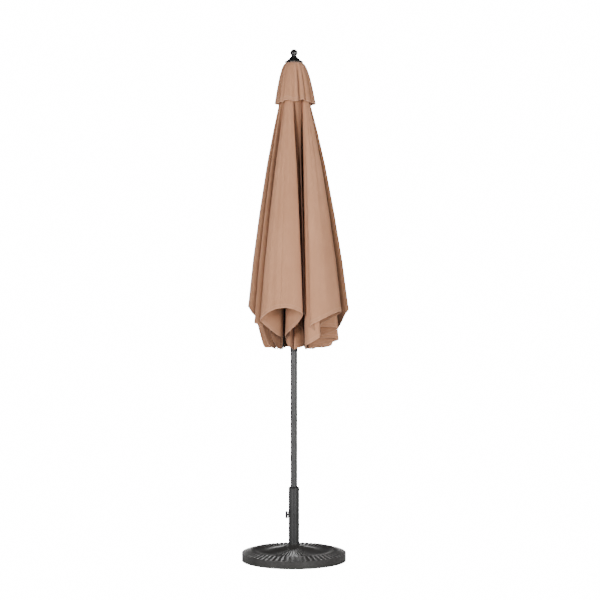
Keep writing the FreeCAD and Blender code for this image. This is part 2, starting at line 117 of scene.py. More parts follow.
class Graph:
    """The node tree of one material."""

    def __init__(self, name: str) -> None:
        """Start an empty material.

        Args:
            name: The material's name.
        """
        self.material = bpy.data.materials.new(name)
        self.material.use_nodes = True
        self.tree = self.material.node_tree
        self.tree.nodes.clear()

    def add(self, kind: str, settings: Optional[Dict[str, Any]] = None,
            inputs: Optional[Dict[Union[str, int], Any]] = None) -> Any:
        """Add any node.

        Args:
            kind: The node's type name.
            settings: Its properties, set before its sockets.
            inputs: Values or links of its sockets.

        Returns:
            The new node.
        """
        node = self.tree.nodes.new(kind)
        for key, value in (settings or {}).items():
            setattr(node, key, value)
        for key, value in (inputs or {}).items():
            self.feed(node.inputs[key], value)
        return node

    def feed(self, target: Any, value: Any) -> None:
        """Set or link one input.

        Args:
            target: The input socket.
            value: A number, a tuple or a Socket.
        """
        if isinstance(value, Socket):
            self.tree.links.new(value.link, target)
        elif isinstance(value, tuple) and len(value) == 3 and target.type == "RGBA":
            target.default_value = (*value, 1.0)
        else:
            target.default_value = value

    def out(self, node: Any, name: Union[str, int] = 0) -> Socket:
        """One output of a node as a Socket."""
        return Socket(self, node.outputs[name])

    def maths(self, operation: str, *values: Any) -> Socket:
        """Add a Math node.

        Args:
            operation: What it does.
            values: Its inputs in order.

        Returns:
            Its result.
        """
        node = self.add("ShaderNodeMath", {"operation": operation}, dict(enumerate(values)))
        return self.out(node)

    def mix(self, share: Any, first: Any, second: Any) -> Socket:
        """Mix two colours.

        Args:
            share: How much of the second.
            first: Colour at 0.
            second: Colour at 1.

        Returns:
            The mixed colour.
        """
        node = self.add("ShaderNodeMix", {"data_type": "RGBA"})
        self.feed(node.inputs[0], share)
        self.feed(node.inputs[6], first)
        self.feed(node.inputs[7], second)
        return Socket(self, node.outputs[2])

    def place(self) -> Socket:
        """Object coordinates, in metres."""
        return self.out(self.add("ShaderNodeTexCoord"), "Object")

    def scaled(self, vector: Socket, x: Number, y: Number, z: Number) -> Socket:
        """A vector stretched along each axis."""
        node = self.add("ShaderNodeVectorMath", {"operation": "MULTIPLY"},
                        {0: vector, 1: (x, y, z)})
        return self.out(node)

    def noise(self, vector: Socket, scale: Number, detail: Number = 3.0,
              rough: Number = 0.55) -> Socket:
        """Cloudy noise from 0 to 1."""
        node = self.add("ShaderNodeTexNoise", {}, {
            "Vector": vector, "Scale": scale, "Detail": detail, "Roughness": rough})
        return self.out(node, "Fac")

    def split(self, vector: Socket) -> Tuple[Socket, Socket, Socket]:
        """The three numbers of a vector."""
        node = self.add("ShaderNodeSeparateXYZ", {}, {0: vector})
        return self.out(node, 0), self.out(node, 1), self.out(node, 2)

    def bump(self, height: Socket, distance: Number, strength: Number = 1.0,
             under: Optional[Socket] = None) -> Socket:
        """Relief from a height.

        Args:
            height: The relief, 0 to 1.
            distance: Its depth in metres.
            strength: How much of it shows.
            under: Relief that it stands on.

        Returns:
            The bent normal.
        """
        inputs: Dict[Union[str, int], Any] = {
            "Height": height, "Distance": distance, "Strength": strength}
        if under is not None:
            inputs["Normal"] = under
        return self.out(self.add("ShaderNodeBump", {}, inputs))

    def finish(self, **sockets: Any) -> Any:
        """Close the material with its surface shader.

        Args:
            sockets: Inputs of the shader, by name with _ for a space.

        Returns:
            The material.
        """
        inputs = {key.replace("_", " "): value for key, value in sockets.items()}
        shader = self.add("ShaderNodeBsdfPrincipled", {}, inputs)
        output = self.add("ShaderNodeOutputMaterial")
        self.tree.links.new(shader.outputs[0], output.inputs["Surface"])
        return self.material


# ---------------------------------------------------------------- finishes
@dataclass(frozen=True)
class CanopyCloth:
    """Woven polyester canopy cloth with a stitched hem, a painted highlight along the hem's edge and painted shade
    inside the folds.
    """

    name: str = "canopy_cloth"
    light: Colour = (0.555, 0.280, 0.160)
    shade: Colour = (0.440, 0.208, 0.112)
    thread_and_edge_highlight: Colour = (0.620, 0.350, 0.220)
    # Colour of the painted shade in the deepest folds.
    deep: Colour = (0.060, 0.026, 0.014)
    yarn: float = 0.0011
    hem: float = 0.020

    def make(self) -> Any:
        """Build the material from the cloth's own map: across and down to the hem."""
        g = Graph(self.name)
        cloth_map = g.out(g.add("ShaderNodeUVMap", {"uv_map": "cloth"}))
        across, up, _ = g.split(cloth_map)
        turn = 2 * math.pi / self.yarn
        warp = (across * turn).sine() * 0.5 + 0.5
        weft = (up * turn).sine() * 0.5 + 0.5
        weave = warp * weft + (1 - warp) * (1 - weft)
        slub = g.noise(g.scaled(cloth_map, 40.0, 900.0, 1.0), 1.0, 2.0)
        slub_up = g.noise(g.scaled(cloth_map, 900.0, 40.0, 1.0), 1.0, 2.0)
        cloudy = g.noise(g.scaled(cloth_map, 5.0, 2.0, 1.0), 1.0, 3.0)
        streak = g.noise(g.scaled(cloth_map, 60.0, 1.5, 1.0), 1.0, 2.0)
        tone = cloudy.ramp(0.3, 0.7) * 0.45 + slub * 0.18 + slub_up * 0.18 + streak * 0.25
        in_hem = 1 - up.over(self.hem)
        seam = ((up - self.hem * 0.86).absolute().ramp(0.0, 0.0013, 1.0, 0.0)
                + (up - self.hem * 0.16).absolute().ramp(0.0, 0.0013, 1.0, 0.0))
        stitch = seam * across.wrap(0.0042).over(0.0014)
        pucker = g.noise(g.scaled(cloth_map, 160.0, 30.0, 1.0), 1.0, 1.0) * in_hem
        colour = g.mix(tone.ramp(0.25, 0.85), self.shade, self.light)
        colour = g.mix(weave.ramp(0.0, 1.0, 0.0, 0.10), colour, self.shade)
        colour = g.mix(in_hem * 0.06, colour, self.thread_and_edge_highlight)
        # Painted highlight: a thin lighter line along the very edge of the hem.
        colour = g.mix((1 - up.over(0.0035)) * 0.40, colour, self.thread_and_edge_highlight)
        colour = g.mix(stitch * 0.85, colour, self.thread_and_edge_highlight)
        # Painted shade: the cloth darkens towards the deep colour where the per-point fold attribute marks it as
        # lying deep in a fold.
        fold = g.out(g.add("ShaderNodeAttribute", {"attribute_name": "fold_painted_shade"}), "Fac")
        colour = g.mix(fold.ramp(0.0, 1.0) * 0.80, colour, self.deep)
        relief = g.bump(weave * 0.6 + slub * 0.4, 0.00025, 0.5)
        relief = g.bump(pucker, 0.0012, 0.35, relief)
        relief = g.bump(1 - seam.ramp(0.0, 1.0), 0.0008, 0.6, relief)
        relief = g.bump(streak * 0.5 + cloudy * 0.5, 0.004, 0.25, relief)
        return g.finish(Base_Color=colour, Roughness=(0.86 + slub * 0.1), Normal=relief,
                        Sheen_Weight=0.35, Sheen_Roughness=0.45, Sheen_Tint=(0.9, 0.75, 0.65, 1.0),
                        Specular_IOR_Level=0.25)


@dataclass(frozen=True)
class PowderCoat:
    """Satin powder coat on steel, with fine orange peel and rubbed marks."""

    name: str
    colour: Colour
    rubbed: Colour
    rough: float = 0.38
    wear: float = 0.25
    metallic: float = 0.35

    def make(self) -> Any:
        """Build the material on object coordinates."""
        g = Graph(self.name)
        place = g.place()
        peel = g.noise(place, 900.0, 2.0)
        broad = g.noise(place, 7.0, 4.0)
        rubbed = g.noise(g.scaled(place, 60.0, 60.0, 9.0), 1.0, 5.0, 0.7).ramp(0.60, 0.74)
        specks = g.noise(place, 2600.0, 1.0).ramp(0.62, 0.75)
        colour = g.mix(broad.ramp(0.3, 0.7, 0.0, 0.5), self.colour, self.rubbed)
        colour = g.mix(rubbed * self.wear, colour, self.rubbed)
        colour = g.mix(specks * 0.12, colour, (0.3, 0.3, 0.3))
        rough = broad.ramp(0.3, 0.7, self.rough - 0.05, self.rough + 0.07) + rubbed * 0.08
        normal = g.bump(peel, 0.00008, 0.35)
        return g.finish(Base_Color=colour, Roughness=rough, Normal=normal,
                        Metallic=self.metallic, Specular_IOR_Level=0.5)


@dataclass(frozen=True)
class CastPaint:
    """Painted casting: dark hammered paint with cloudy patches of dust and fine pits."""

    name: str = "cast_base_paint"
    dark: Colour = (0.022, 0.021, 0.020)
    mid: Colour = (0.050, 0.048, 0.046)
    dust: Colour = (0.12, 0.115, 0.11)

    def make(self) -> Any:
        """Build the material on object coordinates."""
        g = Graph(self.name)
        place = g.place()
        grain = g.noise(place, 420.0, 4.0, 0.65)
        pits = g.noise(place, 1500.0, 2.0).ramp(0.64, 0.80)
        broad = g.noise(place, 9.0, 5.0, 0.6)
        dusty = g.noise(place, 34.0, 4.0, 0.6).ramp(0.52, 0.75)
        colour = g.mix(broad.ramp(0.3, 0.7), self.dark, self.mid)
        colour = g.mix(grain.ramp(0.35, 0.7, 0.0, 0.5), colour, self.mid)
        colour = g.mix(dusty * 0.18, colour, self.dust)
        colour = g.mix(pits * 0.5, colour, self.dark)
        rough = grain.ramp(0.3, 0.7, 0.36, 0.52) + dusty * 0.12
        normal = g.bump(grain, 0.0006, 0.35)
        normal = g.bump(1 - pits, 0.0003, 0.5, normal)
        return g.finish(Base_Color=colour, Roughness=rough, Normal=normal,
                        Metallic=0.15, Specular_IOR_Level=0.5)


@dataclass(frozen=True)
class Moulding:
    """Dark moulded plastic with a fine spark-eroded grain."""

    name: str
    colour: Colour
    pale: Colour
    rough: float = 0.5
    coat: float = 0.0
    grain: float = 0.00012

    def make(self) -> Any:
        """Build the material on object coordinates."""
        g = Graph(self.name)
        place = g.place()
        grain = g.noise(place, 1400.0, 2.0)
        broad = g.noise(place, 22.0, 4.0)
        scuff = g.noise(g.scaled(place, 240.0, 240.0, 40.0), 1.0, 4.0, 0.7).ramp(0.66, 0.78)
        colour = g.mix(broad.ramp(0.3, 0.7, 0.0, 0.6), self.colour, self.pale)
        colour = g.mix(scuff * 0.25, colour, self.pale)
        rough = broad.ramp(0.3, 0.7, self.rough - 0.05, self.rough + 0.06) + scuff * 0.15
        normal = g.bump(grain, self.grain, 0.4)
        return g.finish(Base_Color=colour, Roughness=rough, Normal=normal,
                        Coat_Weight=self.coat, Coat_Roughness=0.12, Specular_IOR_Level=0.5)


@dataclass(frozen=True)
class PlatedSteel:
    """Zinc-plated fastener steel with turning marks."""

    name: str = "plated_steel"
    colour: Colour = (0.42, 0.42, 0.43)
    dull: Colour = (0.22, 0.22, 0.22)

    def make(self) -> Any:
        """Build the material on object coordinates."""
        g = Graph(self.name)
        place = g.place()
        lines = g.noise(g.scaled(place, 90.0, 90.0, 1800.0), 1.0, 2.0)
        bloom = g.noise(place, 120.0, 4.0, 0.65)
        colour = g.mix(bloom.ramp(0.4, 0.7), self.colour, self.dull)
        rough = lines.ramp(0.3, 0.7, 0.28, 0.42) + bloom.ramp(0.4, 0.7, 0.0, 0.14)
        return g.finish(Base_Color=colour, Roughness=rough, Metallic=1.0,
                        Normal=g.bump(lines, 0.00005, 0.4))


class Finish(Enum):
    """The finishes of this umbrella."""

    CLOTH = "canopy_cloth"
    CAST = "cast_base"
    TUBE = "base_tube_paint"
    POLE = "pole_paint"
    FRAME = "frame_paint"
    PLASTIC = "dark_plastic"
    GLOSS = "finial_gloss"
    STEEL = "bare_steel"


class FinishShelf:
    """Makes each finish once and hands it out."""

    def __init__(self) -> None:
        """Build every finish."""
        makers = {
            Finish.CLOTH: CanopyCloth(),
            Finish.CAST: CastPaint(),
            Finish.TUBE: PowderCoat("base_tube_paint", (0.036, 0.036, 0.036), (0.055, 0.055, 0.055)),
            Finish.POLE: PowderCoat("pole_paint", (0.052, 0.052, 0.052), (0.078, 0.078, 0.078)),
            Finish.FRAME: PowderCoat("frame_paint", (0.060, 0.058, 0.056), (0.10, 0.10, 0.10), 0.42),
            Finish.PLASTIC: Moulding("dark_plastic", (0.012, 0.012, 0.012), (0.03, 0.03, 0.03)),
            Finish.GLOSS: Moulding("finial_gloss", (0.010, 0.010, 0.010), (0.016, 0.015, 0.015),
                                   0.26, 0.5, 0.00004),
            Finish.STEEL: PlatedSteel(),
        }
        self.materials = {finish: maker.make() for finish, maker in makers.items()}

    def dress(self, piece: Any, finish: Finish) -> None:
        """Give a whole piece one finish.

        Args:
            piece: The mesh object.
            finish: Which finish.
        """
        if not piece.data.materials:
            piece.data.materials.append(None)
        for k in range(len(piece.data.materials)):
            piece.data.materials[k] = self.materials[finish]


# ---------------------------------------------------------------- the fold of the cloth
@dataclass(frozen=True)
class Fold:
    """The hinge that carries the middle of a panel relative to its rib."""

    pivot: np.ndarray
    axis: np.ndarray
    angle: float

    def turned(self, points: np.ndarray, share: np.ndarray) -> np.ndarray:
        """Points turned by a share of the whole fold.

        Args:
            points: Rest places, one row each.
            share: Share for each point.

        Returns:
            The turned places.
        """
        arm = points - self.pivot
        cosine = np.cos(share * self.angle)[:, None]
        sine = np.sin(share * self.angle)[:, None]
        along = (arm @ self.axis)[:, None] * self.axis
        return self.pivot + arm * cosine + np.cross(self.axis, arm) * sine + along * (1 - cosine)

    def shares(self, points: np.ndarray, target: np.ndarray, normal: np.ndarray,
               first: np.ndarray) -> np.ndarray:
        """Share of the fold that brings each point to its place over the open panel.

        Args:
            points: Rest places.
            target: A point at each one's wanted height over the panel.
            normal: The open panel's normal at each one, in the rib's rest frame.
            first: Shares to start from.

        Returns:
            One share for each point.
        """
        share = first.copy()
        for _ in range(SHARE_PASSES):
            height = ((self.turned(points, share) - target) * normal).sum(axis=1)
            ahead = ((self.turned(points, share + SHARE_PROBE) - target) * normal).sum(axis=1)
            slope = (ahead - height) / SHARE_PROBE
            slope = np.where(np.abs(slope) < 1e-5, -1e-5, slope)
            move = np.clip(height / slope, -SHARE_STEP, SHARE_STEP)
            share = np.clip(share - move, *SHARE_LIMITS)
        return share


@dataclass
class FrameFacts:
    """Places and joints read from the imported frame."""

    ribs: int = 8
    opening: float = 0.0
    rest_angle: float = 0.0
    folds: Dict[str, Fold] = field(default_factory=dict)
    pins: Dict[int, np.ndarray] = field(default_factory=dict)

    def read(self) -> "FrameFacts":
        """Read the joints and the ribs' places."""
        joints = {j["name"]: j for j in frame["joints"]}
        for k in range(self.ribs):
            hinge = joints[f"rib_{k + 1}_hinge"]
            self.pins[k] = np.array(hinge["pos_m"])
            self.opening = math.radians(hinge["range_deg"][1])
            for side in ("left", "right"):
                body = f"cloth_{k + 1}_{side}"
                turn = joints[body + "_fold"]
                self.folds[body] = Fold(np.array(turn["pos_m"]), np.array(turn["axis"]),
                                        math.radians(turn["range_deg"][1]))
        pin = joints["stretcher_1_hinge"]["pos_m"]
        top = self.pins[0]
        self.rest_angle = math.atan2(pin[0] - top[0], top[2] - pin[2])
        return self

    def turn_of(self, rib: int) -> float:
        """Direction of a rib round the pole, in radians."""
        return 2 * math.pi * rib / self.ribs

    def fold_of(self, rib: int, side: int) -> Fold:
        """The fold beside a rib, on one side of it."""
        return self.folds[f"cloth_{rib % self.ribs + 1}_{'left' if side > 0 else 'right'}"]

    def rib_line(self, rib: int) -> np.ndarray:
        """Direction of a closed rib, down from its pin."""
        turn = self.turn_of(rib)
        out = math.sin(self.rest_angle)
        return np.array([out * math.cos(turn), out * math.sin(turn), -math.cos(self.rest_angle)])

    def carried(self, rib: int, places: np.ndarray) -> np.ndarray:
        """Where an open rib carries places that are fixed to it.

        Args:
            rib: Which rib.
            places: Rest places, one row each.

        Returns:
            The places with the canopy open.
        """
        turn = self.turn_of(rib)
        axis = np.array([-math.sin(turn), math.cos(turn), 0.0])
        hinge = Fold(self.pins[rib % self.ribs], axis, -self.opening)
        return hinge.turned(places, np.ones(len(places)))


def smooth_step(value: np.ndarray) -> np.ndarray:
    """Ease from 0 to 1."""
    value = np.clip(value, 0.0, 1.0)
    return value * value * (3 - 2 * value)


def eased(points: np.ndarray, passes: int) -> np.ndarray:
    """Round the corners of a row of points, its ends kept.

    Args:
        points: One row each.
        passes: How often to average.

    Returns:
        The rounded row.
    """
    row = points.copy()
    for _ in range(passes):
        row[1:-1] = row[1:-1] * 0.5 + (row[:-2] + row[2:]) * 0.25
    return row


def resampled(points: np.ndarray, count: int) -> np.ndarray:
    """The same path with evenly spaced points.

    Args:
        points: One row each; the first two columns are the plan.
        count: How many to return.

    Returns:
        The new rows.
    """
    steps = np.linalg.norm(np.diff(points[:, :2], axis=0), axis=1)
    way = np.concatenate([[0.0], np.cumsum(steps)])
    wanted = np.linspace(0.0, way[-1], count)
    return np.stack([np.interp(wanted, way, points[:, c]) for c in range(points.shape[1])], 1)


class Profile(Enum):
    """How a fold swells from the crown to its hem."""

    CANOPY = "canopy"
    VENT = "vent"

    def swell(self, drop: np.ndarray) -> np.ndarray:
        """Share of the hem's radius reached at a share of the drop."""
        if self is Profile.VENT:
            return np.sqrt(np.clip(drop, 0.0, 1.0))
        knots = (0.0, 0.15, 0.25, 0.40, 0.60, 0.80, 1.0)
        values = (0.0, 0.155, 0.29, 0.475, 0.68, 0.86, 1.0)
        return np.interp(drop, knots, values)


@dataclass
class ClothHalf:
    """One half of a panel: a sheet from its rib to the outside of its fold.

    stray is how firmly each row's turn is held to the row's below it, beside the gap between
    the two open edges.  seam_share is how much of the half stays with its rib, and layer_gap
    how far the middle of the open half stands off its plane.
    """

    name: str
    facts: FrameFacts
    rib: int
    side: int
    hem: np.ndarray
    # depth: strength of the painted fold shade at each hem column, 0 to 1.
    depth: np.ndarray
    crown: np.ndarray
    profile: Profile
    rows: int = 58
    hem_band: float = 0.020
    waves: float = 0.003
    seed: int = 1
    stray: float = 0.006
    seam_share: float = 0.03
    layer_gap: float = 0.004

    def grid(self) -> np.ndarray:
        """Rest places, rows by columns by three, from the crown to the hem."""
        columns = len(self.hem)
        length = self.crown[:, 2] - self.hem[:, 2]
        down = np.linspace(0.0, 1.0, self.rows - 4)
        last = 1.0 - np.array([0.022, 0.012, 0.005, 0.0]) / float(length.mean())
        down = np.concatenate([down[:-1], last[last > down[-2]]])
        radius = np.linalg.norm(self.hem[:, :2], axis=1)
        outer = smooth_step((radius - 0.120) / 0.080)
        if self.profile is Profile.VENT:
            outer = np.ones(columns)
        swell = self.profile.swell(down)
        share = swell[:, None] * outer[None, :] + down[:, None] * (1 - outer[None, :])
        places = np.zeros((len(down), columns, 3))
        for axis in (0, 1):
            start, end = self.crown[:, axis], self.hem[:, axis]
            places[:, :, axis] = start + (end - start) * share
        places[:, :, 2] = self.crown[:, 2] - length * down[:, None]
        self.ripple(places, down, outer)
        return places

    def area(self) -> float:
        """Area of the sheet in square metres."""
        places = self.grid()
        one = places[1:, :-1] - places[:-1, :-1]
        two = places[:-1, 1:] - places[:-1, :-1]
        return float(np.linalg.norm(np.cross(one, two), axis=2).sum())

    def ripple(self, places: np.ndarray, down: np.ndarray, outer: np.ndarray) -> None:
        """Soft upright waves over the outside of the fold.

        Args:
            places: The grid, changed in place.
            down: Share of the drop of each row.
            outer: How far each column is on the outside.
        """
        draw = np.random.default_rng(self.seed)
        plan = self.hem[:, :2]
        way = np.concatenate([[0.0], np.cumsum(np.linalg.norm(np.diff(plan, axis=0), axis=1))])
        normal = places[:, :, :2] / (np.linalg.norm(places[:, :, :2], axis=2)[:, :, None] + 1e-9)
        ends = smooth_step(way / 0.03) * smooth_step((way[-1] - way) / 0.03)
        push = np.zeros((len(down), len(plan)))
        for length in (0.045, 0.070, 0.110):
            phase, slope = draw.uniform(0, 2 * math.pi), draw.uniform(-1.5, 1.5)
            turn = 2 * math.pi * way[None, :] / length + phase + slope * down[:, None]
            push += np.sin(turn) * length * 0.30
        places[:, :, :2] += normal * (push * self.waves * 12 * outer * ends
                                      * smooth_step(down * 3)[:, None])[:, :, None]

    def build(self, shelf: FinishShelf) -> Any:
        """Make the sheet and dress it, and work out how it would turn between its rib and its fold; the result is
        not kept.

        Args:
            shelf: The finishes.

        Returns:
            The finished sheet.
        """
        places = self.grid()
        rows, columns = places.shape[:2]
        points = places.reshape(-1, 3)
        faces = []
        for r in range(rows - 1):
            for c in range(columns - 1):
                a, b = r * columns + c, r * columns + c + 1
                quad = (a, a + columns, b + columns, b)
                faces.append(quad if self.side > 0 else quad[::-1])
        mesh = bpy.data.meshes.new(self.name)
        mesh.from_pydata(points.tolist(), [], faces)
        mesh.shade_smooth()
        self.map_cloth(mesh, places)
        # Painted shade: the per-point fold attribute, darker deep in the folds and fading out towards the crown.
        fall = (places[:1, :, 2] - places[:, :, 2]) / (places[:1, :, 2] - places[-1:, :, 2])
        deep = (self.depth[None, :] * smooth_step((fall + 0.08) / 0.50)).ravel()
        mesh.attributes.new("fold_painted_shade", "FLOAT", "POINT").data.foreach_set(
            "value", deep.astype(np.float32))
        piece = bpy.data.objects.new(self.name, mesh)
        bpy.context.scene.collection.objects.link(piece)
        self.thicken(piece, places)
        shelf.dress(piece, Finish.CLOTH)
        self.hang(piece, points, columns)
        return piece

    def map_cloth(self, mesh: Any, places: np.ndarray) -> None:
        """Lay the cloth's own map on the mesh: metres across, metres up from the hem."""
        steps = np.linalg.norm(np.diff(places, axis=1), axis=2)
        across = np.concatenate([np.zeros((len(places), 1)), np.cumsum(steps, 1)], 1)
        panel = self.rib if self.side > 0 else self.rib - 1
        middle = 3.0 + (panel % self.facts.ribs) * 2.37 + (1.3 if self.profile is Profile.VENT else 0)
        across = middle - self.side * (across[:, -1:] - across)
        fall = np.linalg.norm(np.diff(places, axis=0), axis=2)
        fallen = np.concatenate([np.zeros((1, places.shape[1])), np.cumsum(fall, 0)], 0)
        up = fallen[-1:, :] - fallen
        flat = np.stack([across.ravel(), up.ravel()], 1)
        layer = mesh.uv_layers.new(name="cloth")
        corners = np.zeros(len(mesh.loops), np.int32)
        mesh.loops.foreach_get("vertex_index", corners)
        layer.data.foreach_set("uv", flat[corners].astype(np.float32).ravel())

    def thicken(self, piece: Any, places: np.ndarray) -> None:
        """Give the sheet its thickness, more in the turned hem."""
        fall = places[:, :, 2] - places[-1:, :, 2]
        weights = np.where(fall < self.hem_band * 0.9, 1.0, 0.35).ravel()
        group = piece.vertex_groups.new(name="hem")
        for value in (0.35, 1.0):
            group.add([int(i) for i in np.nonzero(weights == value)[0]], value, "REPLACE")
        wall = piece.modifiers.new("thickness", "SOLIDIFY")
        wall.thickness = 0.0018
        wall.offset = 0.0
        wall.vertex_group = "hem"
        wall.thickness_vertex_group = 0.0

    def hang(self, piece: Any, points: np.ndarray, columns: int) -> None:
        """Bake the sheet's place into its mesh and work out how far each point turns with its fold.

        The shares that would close the open canopy are worked out here but not kept or applied.

        Args:
            piece: The sheet.
            points: Rest places of its vertices.
            columns: How many of them are in a row.
        """
        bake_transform(piece)
        way = np.tile(np.linspace(0.0, 1.0, columns), len(points) // columns)
        share = self.opened(points, columns)
        (share * smooth_step(way / self.seam_share)).astype(np.float32)

    def joined(self, edge: np.ndarray) -> Tuple[np.ndarray, np.ndarray]:
        """How far the half's edge turns to meet its neighbour's edge when open.

        Worked from the hem up, each row starting from the one below it.

        Args:
            edge: Rest places of the edge, from the crown to the hem.

        Returns:
            The share of each row, and the gap left between the two edges.
        """
        there = self.rib + self.side
        mine, other = self.facts.fold_of(self.rib, self.side), self.facts.fold_of(there, -self.side)
        share, gap = np.zeros(len(edge)), np.zeros(len(edge))
        pair = np.array([FIRST_SHARE, FIRST_SHARE])
        for row in range(len(edge) - 1, -1, -1):
            start, spot = pair.copy(), edge[row:row + 1]

            def apart(pair: np.ndarray) -> np.ndarray:
                """Gap between the two edges, and how far the shares have strayed."""
                near = self.facts.carried(self.rib, mine.turned(spot, pair[:1]))
                far = self.facts.carried(there, other.turned(spot, pair[1:]))
                return np.concatenate([(near - far)[0], self.stray * (pair - start)])

            for _ in range(MEET_PASSES):
                now = apart(pair)
                slope = np.stack([(apart(pair + step) - now) / SMALL_SHARE
                                  for step in np.eye(2) * SMALL_SHARE], 1)
                change = np.linalg.lstsq(slope, -now, rcond=None)[0]
                pair = np.clip(pair + np.clip(change, -MEET_STEP, MEET_STEP), *MEET_LIMITS)
            share[row], gap[row] = pair[0], np.linalg.norm(apart(pair)[:3])
        return share, gap

    def opened(self, points: np.ndarray, columns: int) -> np.ndarray:
        """How each point turns so that the open panel is drawn tight to its joined edge.

        Each row lies along the plane from the rib to the place where the two edges meet.

        Args:
            points: Rest places of the vertices.
            columns: How many of them are in a row.

        Returns:
            The share of each point.
        """
        fold = self.facts.fold_of(self.rib, self.side)
        rows = points.reshape(-1, columns, 3)
        edge, gap = self.joined(rows[:, -1])
        met = fold.turned(rows[:, -1], edge)
        normal = np.cross(self.facts.rib_line(self.rib), met - rows[:, 0]) * self.side
        normal /= np.linalg.norm(normal, axis=1)[:, None]
        LOG.info("%s: open edges meet within %.1f mm", self.name, gap.max() * 1000)
        way = np.tile(np.linspace(0.0, 1.0, columns), len(rows))
        if self.profile is Profile.VENT:
            return np.repeat(edge, columns) * way
        each = np.repeat(normal, columns, axis=0)
        lift = self.layer_gap * np.sin(math.pi * way)
        target = np.repeat(rows[:, 0], columns, axis=0) + each * lift[:, None]
        share = fold.shares(points, target, each, np.repeat(edge, columns))
        share.reshape(-1, columns)[:, -1] = edge
        return share


